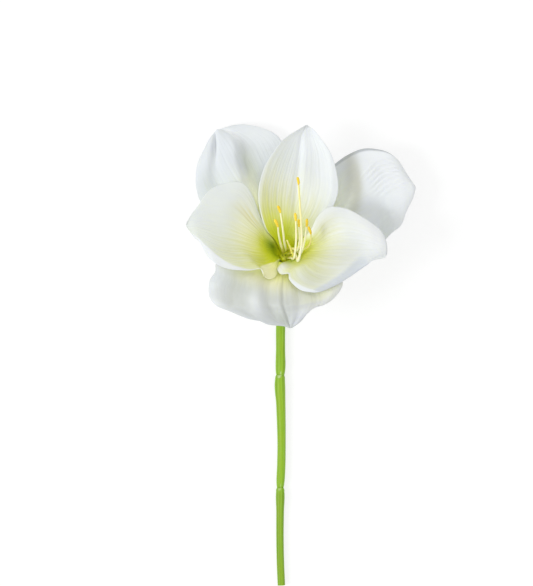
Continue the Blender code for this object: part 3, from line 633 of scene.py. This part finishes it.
def ruffle_lift(ruffle):
    """Waves along both edges that die out towards the midrib and the claw."""
    wave = np.sin(2 * pi * ruffle.waves * ALONG + ruffle.phase + RUFFLE_SKEW * ACROSS)
    return ruffle.height * wave * np.abs(ACROSS) ** 3 * np.sin(pi * ALONG) ** 0.6


def vein_lift():
    """Ribs from claw to tip, unevenly spaced as the sum of three even sets."""
    ribs = sum(np.cos(pi * count * ACROSS + phase + VEIN_DRIFT * ALONG) for count, phase in VEIN_SETS)
    return VEIN_HEIGHT * ribs * (1 - np.abs(ACROSS) ** 4) * np.sin(pi * ALONG) ** 0.5


def uneven_lift(points):
    """A slow, slight unevenness, so that no part of a blade is perfectly smooth."""
    places = points.reshape(-1, 3) / UNEVENNESS_SIZE
    lift = [noise.noise(Vector(place)) for place in places]
    return UNEVENNESS * np.array(lift).reshape(points.shape[:2])


def turned_colours(turns, tints):
    """The colour of the strongest turned margin or tint at each place, with its share as alpha."""
    layers = []
    for edge, line, _, bend, colour, share in turns:
        strip = np.clip(past_line(line, edge) / bend + COLOUR_START, 0, 1)
        layers.append((colour, share * strip))
    for line, left, right, colour, share in tints:
        layers.append((colour, share * band_share(line, left, right, COLOUR_FADE)))
    colours = np.zeros((ROWS, COLUMNS, 4))
    for colour, share in layers:
        colours[share > colours[..., 3], :3] = colour
        colours[..., 3] = np.maximum(colours[..., 3], share)
    return colours


def toned_colours(tones):
    """What the tones, mostly painted light and shade, multiply the blade's colour by at each place."""
    colours = np.ones((ROWS, COLUMNS, 4))
    for line, left, right, colour in tones:
        share = band_share(line, left, right, COLOUR_FADE)[..., None]
        colours[..., :3] *= 1 + share * (np.array(colour) - 1)
    return colours


def tepal_surface(tepal):
    """The tepal's middle surface as a grid of points, and each row's distance from the foot."""
    left, middle, right = tepal_rails(tepal)
    straight = (right - left) / 2
    bow = (left + right) / 2 - middle
    across = ACROSS[:, None]
    points = middle[:, None] + across * straight[:, None] + across**2 * bow[:, None]
    inward = np.cross(np.gradient(points, axis=1), np.gradient(points, axis=0))
    inward /= np.linalg.norm(inward, axis=2)[..., None]
    lift = turn_lift(tepal.turns) + ruffle_lift(tepal.ruffle) + vein_lift() + uneven_lift(points)
    for line, left, right, height in tepal.folds:
        lift += height * band_share(line, left, right, FOLD_FADE)
    return points + inward * lift[..., None], distances(middle)


def sheet_mesh(name, points, across, along, colours=None):
    """A smooth mesh of quads over a grid of points, with (across, along) as its UV map."""
    rows, columns = points.shape[:2]
    index = np.arange(rows * columns).reshape(rows, columns)
    corners = [index[:-1, :-1], index[:-1, 1:], index[1:, 1:], index[1:, :-1]]
    quads = np.stack(corners, axis=-1).reshape(-1, 4)
    mesh = bpy.data.meshes.new(name)
    placed = points * MM + flower_shift()
    mesh.from_pydata(placed.reshape(-1, 3).tolist(), [], quads.tolist())
    places = np.stack(np.broadcast_arrays(across[None], along[:, None]), axis=-1).reshape(-1, 2)
    layer = mesh.uv_layers.new(name=BLADE_MAP)
    layer.uv.foreach_set("vector", places[quads.ravel()].astype(np.float32).ravel())
    for attribute, values in (colours or {}).items():
        mesh.attributes.new(attribute, "FLOAT_COLOR", "POINT").data.foreach_set("color", values.ravel())
    mesh.shade_smooth()
    return mesh


def add_piece(name, mesh, node, slot, *materials):
    """An object that stands for a CAD node and rides on the model's one body."""
    made = bpy.data.objects.new(name, mesh)
    for material in materials:
        mesh.materials.append(material)
    bpy.context.scene.collection.objects.link(made)
    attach(made, BODY)
    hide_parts(node)
    return made


def add_tepal(tepal):
    """A tepal, thinner towards its edges."""
    points, length = tepal_surface(tepal)
    colours = {TURNED: turned_colours(tepal.turns, tepal.tints), TONED: toned_colours(tepal.tones)}
    mesh = sheet_mesh(tepal.name, points, ACROSS, length * MM_TO_CM, colours)
    made = add_piece(tepal.name, mesh, tepal.node, "tepal", inner_skin(tepal), outer_skin())
    edge = EDGE_THICKNESS / MIDRIB_THICKNESS
    group = made.vertex_groups.new(name="Thickness")
    for column, weight in enumerate(edge + (1 - edge) * (1 - ACROSS**2)):
        group.add(range(column, ROWS * COLUMNS, COLUMNS), weight, "REPLACE")
    skin = made.modifiers.new("Thickness", "SOLIDIFY")
    skin.thickness = MIDRIB_THICKNESS * MM
    skin.offset = 0
    skin.vertex_group = group.name
    skin.material_offset = 1


def angles_round(sides):
    return np.linspace(0, 2 * pi, sides + 1)[None]


def tube_points(path, radii, sides):
    """Rings round a path. radii has a row for each ring, with one radius or one for each angle."""
    tangents = np.gradient(path, axis=0)
    tangents /= np.linalg.norm(tangents, axis=1)[:, None]
    across = SIDE - (tangents @ SIDE)[:, None] * tangents
    across /= np.linalg.norm(across, axis=1)[:, None]
    up = np.cross(tangents, across)
    angle = angles_round(sides)[..., None]
    return path[:, None] + radii[..., None] * (np.cos(angle) * across[:, None] + np.sin(angle) * up[:, None])


def weld(mesh):
    """Joins the seam, and closes the ends where rings meet in a point."""
    bm = bmesh.new()
    bm.from_mesh(mesh)
    bmesh.ops.remove_doubles(bm, verts=bm.verts, dist=1e-6)
    bmesh.ops.recalc_face_normals(bm, faces=bm.faces)
    bm.to_mesh(mesh)
    bm.free()
    mesh.shade_smooth()


def add_tube_piece(name, node, slot, material, path, radii, sides, colours=None):
    """A closed tube along a path. Its UV map has the turn round it, 0 to 1, and centimetres along it."""
    points = tube_points(path, radii, sides)
    mesh = sheet_mesh(name, points, np.linspace(0, 1, sides + 1), distances(path) * MM_TO_CM, colours)
    weld(mesh)
    add_piece(name, mesh, node, slot, material)


def with_ends(path, radii):
    """A path and its radii with a flat cap at each end."""
    path = np.concatenate([path[:1], path, path[-1:]])
    path[0] -= (path[2] - path[1]) * CAP_STEP
    path[-1] += (path[-2] - path[-3]) * CAP_STEP
    return path, np.concatenate([[0], radii, [0]])


def stem_colours(path):
    """Painted light and shade in stripes, darker towards the foot, and joint marks, partly a painted
    highlight.
    """
    side = np.cos(angles_round(STEM_SIDES))
    height = path[:, 1:2]
    tone = 1 + sum(change * bump_at(side, place, width) for change, place, width in LIGHT_AND_SHADE_STRIPES)
    tone = tone * (1 - FOOT_DARKENING * np.clip((JOINTS[-1] - height) / FOOT_DARKENING_OVER, 0, 1))
    tones = np.ones((*tone.shape, 4))
    tones[..., :3] = tone[..., None]
    glints_and_scuffs = np.zeros_like(tones)
    glints_and_scuffs[..., :3] = GLINT_AND_SCUFF
    # Pale marks at each joint: the crescent on the lip is a painted highlight, the curl above the pinch a
    # mark.
    for joint, share in zip(JOINTS, JOINT_GLINTS_AND_SCUFFS):
        for above, thickness, curve, place, width, strength in GLINT_AND_SCUFF_MARKS:
            middle = joint + above + curve * (side - GLINT_AND_SCUFF_LOWEST) ** 2
            mark = strength * bump_at(height, middle, thickness) * bump_at(side, place, width)
            glints_and_scuffs[..., 3] = np.maximum(glints_and_scuffs[..., 3], share * mark)
    return {TONED: tones, TURNED: glints_and_scuffs}


def add_stem():
    """The stem, pinched at each joint with a swollen lip below it, and finely ribbed."""
    lying = [(x, y, radius, radius) for y, x, radius in STEM_POINTS]
    whole = smoothed([*lying, *BEND_POINTS], STEM_RINGS)
    path, radii = whole[:, :3], whole[:, 3]
    for joint in JOINTS:
        radii = radii - PINCH_DEPTH * bump_at(path[:, 1], joint, PINCH_WIDTH)
        radii = radii + LIP_HEIGHT * bump_at(path[:, 1], joint - LIP_BELOW, LIP_WIDTH)
    path[:, 2] = np.where(path[:, 1] < LYING_TO, radii, path[:, 2])
    path, radii = with_ends(path, radii)
    angle, row = angles_round(STEM_SIDES), np.arange(len(path))[:, None]
    ribs = sum(depth * np.cos(count * angle + turn * row) for depth, count, turn in RIBS)
    radii = radii[:, None] * (1 + ribs)
    colours = stem_colours(path)
    add_tube_piece("cut_stem", "stem", "stem", stem_skin(), path, radii, STEM_SIDES, colours)


def add_ovary():
    """The ovary, with three rounded chambers."""
    whole = smoothed(OVARY_POINTS, OVARY_RINGS)
    path, radii = with_ends(whole[:, :3], whole[:, 3])
    swell = np.sin(pi * np.arange(len(path)) / len(path))[:, None]
    radii = radii[:, None] * (1 + LOBE_DEPTH * swell * np.cos(3 * (angles_round(OVARY_SIDES) - pi / 2)))
    skin = green_skin("ovary_surface", 0.42, 0.4, 20, 0.1, 0.03, OVARY_COLOURS)
    add_tube_piece("three_lobed_ovary", "ovary", "ovary", skin, path, radii, OVARY_SIDES)


def add_perianth_tube():
    """The tube, ribbed where the six claws run into it, with the throat's cushion on top."""
    known = np.array(TUBE_PROFILE)
    heights = np.linspace(known[0, 0], known[-1, 0], TUBE_RINGS)
    outer = np.stack([heights, smooth_curve(known[:, 1:], known[:, 0], heights)[:, 0]], axis=1)
    profile = np.concatenate([[(heights[0], 0)], outer, CUSHION_PROFILE, [(CUSHION_PROFILE[-1][0], 0)]])
    angle = angles_round(TUBE_SIDES)
    grown = np.clip((profile[:, :1] - heights[0]) / TUBE_RIBS_OVER, 0, 1)
    ribs = 1 + TUBE_RIB_DEPTH * np.cos(6 * angle) * grown
    around = np.cos(angle)[..., None] * SIDE + np.sin(angle)[..., None] * FRONT
    points = MOUTH + profile[:, :1, None] * AXIS + (profile[:, 1:] * ribs)[..., None] * around
    along = np.linspace(0, TUBE_MAP_LENGTH, len(profile))
    mesh = sheet_mesh("ribbed_tube", points, angle[0] / (2 * pi), along)
    weld(mesh)
    skin = green_skin("tube_surface", 0.45, 0.35, 26, 0.12, 0.02, TUBE_COLOURS)
    add_piece("ribbed_tube", mesh, "perianth_tube", "tube", skin)


def add_strand(name, node, skin, foot, throat, route, radius, tip):
    """A slender rod, swollen above its foot, that thins towards its tip."""
    points = [on_axis(FOOT_HEIGHT, *foot), on_axis(THROAT_HEIGHT, *throat), *route]
    path = smoothed(points, RINGS_PER_POINT * len(route))
    widths = (FOOT_WIDTH, SWELL_WIDTH, tip)
    radii = radius * np.interp(np.linspace(0, 1, len(path)), (0, SWELL_AT, 1), widths)
    path, radii = with_ends(path, radii)
    add_tube_piece(name, node, "filament", skin, path, radii[:, None], STRAND_SIDES)


def add_anther(name, node, slot, foot, tip):
    """A long body of two pollen sacs with a groove down each face, slightly bent."""
    foot, tip = np.array(foot, float), np.array(tip, float)
    part = np.linspace(0, 1, ANTHER_RINGS)
    path = foot + (tip - foot) * part[:, None]
    path[:, 0] += ANTHER_BEND * np.sin(pi * part)
    taper = ANTHER_FOOT_WIDTH + (1 - ANTHER_FOOT_WIDTH) * part
    profile = ANTHER_RADIUS * np.sqrt(np.clip(1 - (2 * part - 1) ** 4, 0, 1)) * taper
    angle = angles_round(ANTHER_SIDES)
    groove = bump_at(np.sin(angle), 0, GROOVE_WIDTH) * np.cos(angle) ** 2
    round_it = (1 - GROOVE_DEPTH * groove) * (1 - ANTHER_FLATNESS * np.cos(angle) ** 2)
    radii = profile[:, None] * round_it
    add_tube_piece(name, node, slot, anther_skin(), path, radii, ANTHER_SIDES)


def add_strands():
    """The filaments with their anthers, the bare filament, and the style with its stigma."""
    pale = filament_skin("filament_surface", PALE_COLOURS)
    golden = filament_skin("golden_filament_surface", GOLDEN_COLOURS)
    for number, (foot_angle, throat, route, anther_tip) in enumerate(STAMENS, 1):
        skin = golden if number == GOLDEN_STAMEN else pale
        foot = (FOOT_RADIUS, foot_angle)
        name, node = f"stamen_rod_{number}", f"filament_{number}"
        add_strand(name, node, skin, foot, throat, route, FILAMENT_RADIUS, FILAMENT_TIP)
        name, node = f"pollen_sac_{number}", f"anther_{number}"
        add_anther(name, node, "anther", route[-1], anther_tip)
    foot_angle, throat, route = STAMINODE
    foot = (FOOT_RADIUS, foot_angle)
    add_strand("bare_stamen", "staminode", golden, foot, throat, route, FILAMENT_RADIUS, BARE_TIP)
    add_strand("long_style", "style", pale, (0, 0), STYLE_THROAT, STYLE, STYLE_RADIUS, STYLE_TIP)
    add_anther("style_tip", "stigma", "stigma", STYLE[-1], STIGMA_TIP)


def put(value, socket):
    """Links a socket to another one, or sets it to a value."""
    if isinstance(value, bpy.types.NodeSocket):
        socket.id_data.links.new(value, socket)
    elif isinstance(value, tuple) and socket.type == "RGBA":
        socket.default_value = (*value, 1)
    elif value is not None:
        socket.default_value = value


def add_node(tree, kind, *values, **settings):
    """A node with these settings, and these values or sockets on its first inputs. None leaves one alone."""
    node = tree.nodes.new(f"ShaderNode{kind}")
    for setting, value in settings.items():
        setattr(node, setting, value)
    for value, socket in zip(values, node.inputs):
        put(value, socket)
    return node


class Graph:
    """The nodes of one material."""

    def __init__(self, name, roughness, **constants):
        self.material = bpy.data.materials.new(name)
        self.material.use_nodes = True
        self.tree = self.material.node_tree
        self.shader = self.tree.nodes["Principled BSDF"]
        for socket, value in {"Roughness": roughness, **constants}.items():
            put(value, self.shader.inputs[socket.replace("_", " ")])

    def node(self, kind, *values, **settings):
        return add_node(self.tree, kind, *values, **settings)

    def math(self, operation, *values):
        return self.node("Math", *values, operation=operation).outputs[0]

    def times(self, first, second):
        return self.math("MULTIPLY", first, second)

    def blade(self):
        """The surface's own coordinates: across or round it, and along it in centimetres."""
        own = self.node("UVMap", uv_map=BLADE_MAP)
        return self.node("SeparateXYZ", own.outputs[0]).outputs[:2]

    def attribute(self, name):
        """A colour attribute's colour and alpha."""
        outputs = self.node("Attribute", attribute_name=name).outputs
        return outputs["Color"], outputs["Alpha"]

    def noise(self, place, scale, detail):
        return self.node("TexNoise", place, None, scale, detail).outputs[0]

    def streaks(self, across, along, count, run, detail=2, seed=0):
        """Noise drawn out along the surface: count features across it and run to a centimetre."""
        place = self.node("CombineXYZ", self.times(across, count), self.times(along, run), seed)
        return self.noise(place.outputs[0], 1, detail)

    def grain(self, scale, detail=2):
        """Noise through space, with this many features to a metre."""
        return self.noise(self.node("TexCoord").outputs["Object"], scale, detail)

    def spread(self, *numbers):
        """Takes (value, low, high) to 0..1, or to the two numbers that follow, smoothed and clamped."""
        return self.node("MapRange", *numbers, interpolation_type="SMOOTHSTEP").outputs[0]

    def mix(self, factor, first, second, blend="MIX"):
        unused = [None] * 5
        values = (factor, *unused, first, second)
        return self.node("Mix", *values, data_type="RGBA", blend_type=blend).outputs[2]

    def toned(self, colour):
        return self.mix(1, colour, self.attribute(TONED)[0], "MULTIPLY")

    def ramp(self, factor, stops):
        """Colours at these stops from 0 to 1."""
        node = self.node("ValToRGB", factor)
        elements = node.color_ramp.elements
        for _ in stops[2:]:
            elements.new(1)
        for element, (place, colour) in zip(elements, stops):
            element.position = place
            element.color = (*colour, 1)
        return node.outputs[0]

    def bump(self, *heights):
        """Raises the surface by heights, each a (socket, millimetres) pair."""
        normal = None
        for height, depth in heights:
            node = self.node("Bump")
            put(depth * MM, node.inputs["Distance"])
            put(height, node.inputs["Height"])
            put(normal, node.inputs["Normal"])
            normal = node.outputs[0]
        put(normal, self.shader.inputs["Normal"])

    def finish(self, colour):
        put(colour, self.shader.inputs["Base Color"])
        return self.material


def throat_stops(look):
    """The throat's colours out to this tepal's own white, which comes into them towards their end."""
    tint = np.array(look.white) / WHITE
    for place, colour in THROAT_COLOURS:
        share = np.clip((place - OWN_WHITE_FROM) / OWN_WHITE_OVER, 0, 1)
        yield place / THROAT_SPAN, tuple(np.array(colour) * (1 + (tint - 1) * share))
    yield 1, look.white


def inner_skin(tepal):
    """A tepal's inner face: green in the throat, streaked out along the veins to white."""
    look = tepal.look
    graph = Graph(f"{tepal.name}_inner_face", 0.48, **PETAL_FLESH)
    across, along = graph.blade()
    streaks = graph.streaks(across, along, 19, 0.35, 3)
    fine = graph.streaks(across, along, 50, 0.7, 2, 5)
    reach = graph.times(graph.math("MULTIPLY_ADD", across, look.lean, 1), look.reach * THROAT_SPAN)
    uneven = graph.math("MULTIPLY_ADD", streaks, look.streak, 1 - look.streak / 2)
    distance = graph.math("DIVIDE", along, graph.times(reach, uneven))
    green = graph.ramp(distance, list(throat_stops(look)))
    sides = zip((-1, 1), look.rims)
    rims = [graph.spread(across, edge * start, edge, 0, 0.85) for edge, start in sides]
    rim = graph.times(graph.math("ADD", *rims), graph.spread(along, 1.6, 3.2))
    colour = graph.mix(rim, green, look.white)
    turned, share = graph.attribute(TURNED)
    colour = graph.mix(graph.times(share, graph.spread(along, 0.5, 1.2)), colour, turned)
    veins = graph.spread(fine, 0.52, 0.78, 0, 0.35 * look.veins)
    colour = graph.mix(graph.times(veins, graph.spread(distance, 0.75, 0.3)), colour, YELLOW_GREEN)
    clouds = graph.spread(graph.grain(CLOUD_GRAIN), 0.45, 0.7, 0, 0.3)
    colour = graph.mix(graph.times(clouds, graph.spread(distance, 0.6, 0.9)), colour, COOL_WHITE)
    # The tones, mostly painted light and shade.
    colour = graph.toned(colour)
    graph.bump((fine, 0.12), (streaks, 0.16), (graph.grain(PETAL_GRAIN), 0.02))
    return graph.finish(colour)


@cache
def outer_skin():
    """The outer face of every tepal: a cool white with green at the claw and up the midrib."""
    graph = Graph("tepal_outer_face", 0.5, **PETAL_FLESH)
    across, along = graph.blade()
    streaks = graph.streaks(across, along, 16, 0.4, 3)
    far = graph.times(along, graph.math("MULTIPLY_ADD", streaks, 0.8, 0.6))
    base = graph.ramp(graph.math("DIVIDE", far, OUTER_SPAN), OUTER_COLOURS)
    midrib = graph.spread(graph.math("ABSOLUTE", across), 0.14, 0.02, 0, 0.55)
    colour = graph.mix(graph.times(midrib, graph.spread(along, 8.5, 3)), base, MIDRIB_GREEN)
    graph.bump((streaks, 0.18), (graph.grain(PETAL_GRAIN), 0.02))
    return graph.finish(colour)


def stem_skin():
    """Waxy green with long fibres, painted light and shade along it, and whitish joint marks, partly a
    painted highlight.
    """
    graph = Graph("stem_surface", 0.46, Specular_IOR_Level=0.22, **GREEN_FLESH)
    round_it, along = graph.blade()
    fibres = graph.streaks(round_it, along, 34, 0.12)
    patches = graph.streaks(round_it, along, 5, 0.5, 2, 3)
    colour = graph.ramp(fibres, STEM_COLOURS)
    colour = graph.mix(graph.spread(patches, 0.4, 0.7, 0, 0.35), colour, PATCH_GREEN)
    # The tones: stripes of painted light and shade, and darker towards the foot.
    colour = graph.toned(colour)
    # The joint marks, the crescent on each lip a painted highlight.
    glint_and_scuff, share = graph.attribute(TURNED)
    colour = graph.mix(share, colour, glint_and_scuff)
    graph.bump((fibres, 0.12), (graph.grain(GREEN_GRAIN), 0.02))
    return graph.finish(colour)


def green_skin(name, roughness, specular, count, ridges, grain, stops):
    """A fleshy green surface, streaked along its length."""
    graph = Graph(name, roughness, Specular_IOR_Level=specular, **GREEN_FLESH)
    streaks = graph.streaks(*graph.blade(), count, 0.8)
    graph.bump((streaks, ridges), (graph.grain(GREEN_GRAIN), grain))
    return graph.finish(graph.ramp(streaks, stops))


def filament_skin(name, colours):
    """Glossy, and yellow-green towards the throat."""
    graph = Graph(name, 0.3, Specular_IOR_Level=0.5, Subsurface_Weight=0.1, Subsurface_Scale=0.001)
    round_it, along = graph.blade()
    streaks = graph.streaks(round_it, along, 6, 1.5, 1)
    height = graph.math("MULTIPLY_ADD", streaks, 0.4, along)
    stops = [(place / FILAMENT_SPAN, colour) for place, colour in colours]
    graph.bump((streaks, 0.03))
    return graph.finish(graph.ramp(graph.math("DIVIDE", height, FILAMENT_SPAN), stops))


@cache
def anther_skin():
    """Loose yellow pollen over an orange body."""
    graph = Graph("anther_surface", 0.75, Specular_IOR_Level=0.2, Sheen_Weight=0.2)
    pollen = graph.grain(POLLEN_GRAIN, 3)
    graph.bump((pollen, 0.12))
    return graph.finish(graph.ramp(pollen, POLLEN_COLOURS))


def show_directly(tree, usual, seen, share, output):
    """Rays from the camera, mirrors and glass get this share of the shader seen. Others get usual alone."""
    path = add_node(tree, "LightPath").outputs
    rays = path["Is Camera Ray"]
    for name in ("Is Glossy Ray", "Is Transmission Ray"):
        rays = add_node(tree, "Math", rays, path[name], operation="MAXIMUM").outputs[0]
    part = add_node(tree, "Math", rays, share, operation="MULTIPLY").outputs[0]
    mixed = add_node(tree, "MixShader", part, usual.outputs[0], seen.outputs[0])
    put(mixed.outputs[0], output.inputs["Surface"])


def add_floor():
    """A white floor that glows a little when seen directly, so that it shows white and keeps its shadow."""
    floor_skin = Graph("studio_floor", 1, Specular_IOR_Level=0)
    floor_skin.finish(FLOOR_WHITE)
    tree = floor_skin.tree
    glow = add_node(tree, "Emission", None, FLOOR_GLOW_STRENGTH)
    show_directly(tree, floor_skin.shader, glow, FLOOR_GLOW, tree.nodes["Material Output"])
    half = FLOOR_SIZE / 2
    mesh = bpy.data.meshes.new("floor")
    corners = [(-half, -half, 0), (half, -half, 0), (half, half, 0), (-half, half, 0)]
    mesh.from_pydata(corners, [], [(0, 1, 2, 3)])
    mesh.materials.append(floor_skin.material)
    floor = bpy.data.objects.new("floor", mesh)
    floor.location.z = -FLOOR_DROP
    bpy.context.scene.collection.objects.link(floor)


def add_world():
    """Soft light from all round, and plain white where the camera sees past the floor."""
    world = bpy.data.worlds.new("studio")
    bpy.context.scene.world = world
    world.use_nodes = True
    tree = world.node_tree
    fill = tree.nodes["Background"]
    for value, socket in zip((WORLD_TINT, WORLD_STRENGTH), fill.inputs):
        put(value, socket)
    backdrop = add_node(tree, "Background", (1, 1, 1), 1)
    show_directly(tree, fill, backdrop, 1, tree.nodes["World Output"])


def add_lamp(name, kind, place, power, **settings):
    """A lamp of this power at a place, in metres from the flower's mouth, turned to the mouth."""
    light = bpy.data.lights.new(name, kind)
    light.energy = power
    for setting, value in settings.items():
        setattr(light, setting, value)
    lamp = bpy.data.objects.new(name, light)
    target = Vector(MOUTH * MM + flower_shift())
    lamp.location = target + Vector(place)
    lamp.rotation_euler = (target - lamp.location).to_track_quat("-Z", "Y").to_euler()
    bpy.context.scene.collection.objects.link(lamp)


def add_lamps():
    """The key light, and a narrow, soft one that reaches down into the flower's throat."""
    add_lamp("key", "AREA", KEY_FROM, KEY_POWER, size=KEY_SIZE, color=KEY_TINT)
    narrow = {"spot_size": THROAT_LIGHT_CONE, "spot_blend": 1, "shadow_soft_size": THROAT_LIGHT_RADIUS}
    add_lamp("throat", "SPOT", THROAT_LIGHT_FROM, THROAT_LIGHT_POWER, **narrow)


def add_camera():
    camera = bpy.data.cameras.new("camera")
    camera.sensor_width = SENSOR_MM
    camera.lens = SENSOR_MM * (CAMERA_HEIGHT - PETAL_HEIGHT) / VIEW_HEIGHT
    camera.clip_end = VIEW_END
    above = bpy.data.objects.new("camera", camera)
    above.location = flower_shift() + CAMERA_FROM
    bpy.context.scene.collection.objects.link(above)
    bpy.context.scene.camera = above


def main():
    for old in list(bpy.data.objects):
        bpy.data.objects.remove(old, do_unlink=True)
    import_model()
    for tepal in TEPALS:
        add_tepal(tepal)
    add_stem()
    add_ovary()
    add_perianth_tube()
    add_strands()
    add_floor()
    add_world()
    add_lamps()
    add_camera()
    bpy.context.scene.view_settings.view_transform = "Standard"


main()
